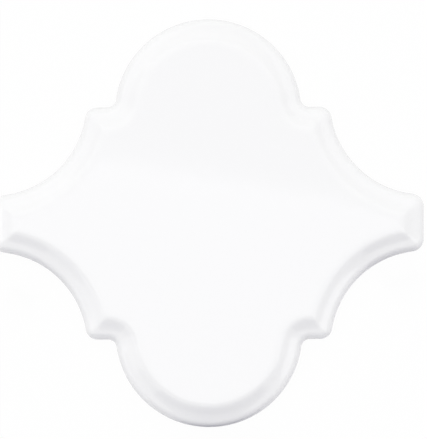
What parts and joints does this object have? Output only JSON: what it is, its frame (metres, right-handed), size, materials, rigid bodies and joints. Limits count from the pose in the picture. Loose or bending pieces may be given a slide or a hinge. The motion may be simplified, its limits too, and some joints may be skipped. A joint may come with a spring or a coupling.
{
  "type": "arabesque tile",
  "caption": "Glossy white ceramic wall tile with an arabesque outline: round lobes, flat-ended wings, hollow flanks that nest with neighbours, a bevelled face and a ribbed back.",
  "frame": {"origin": "centre of the back plane, on the crowns of the ribs", "axes": "+X across the wings, +Y through the lobes, +Z out of the glazed face"},
  "size_m": [0.15, 0.1422, 0.009],
  "materials": {
    "glazed_clay": "glossy white glaze over a fired white clay body"
  },
  "bodies": {
    "root": {"arabesque_tile": "glazed_clay"}
  },
  "joints": []
}
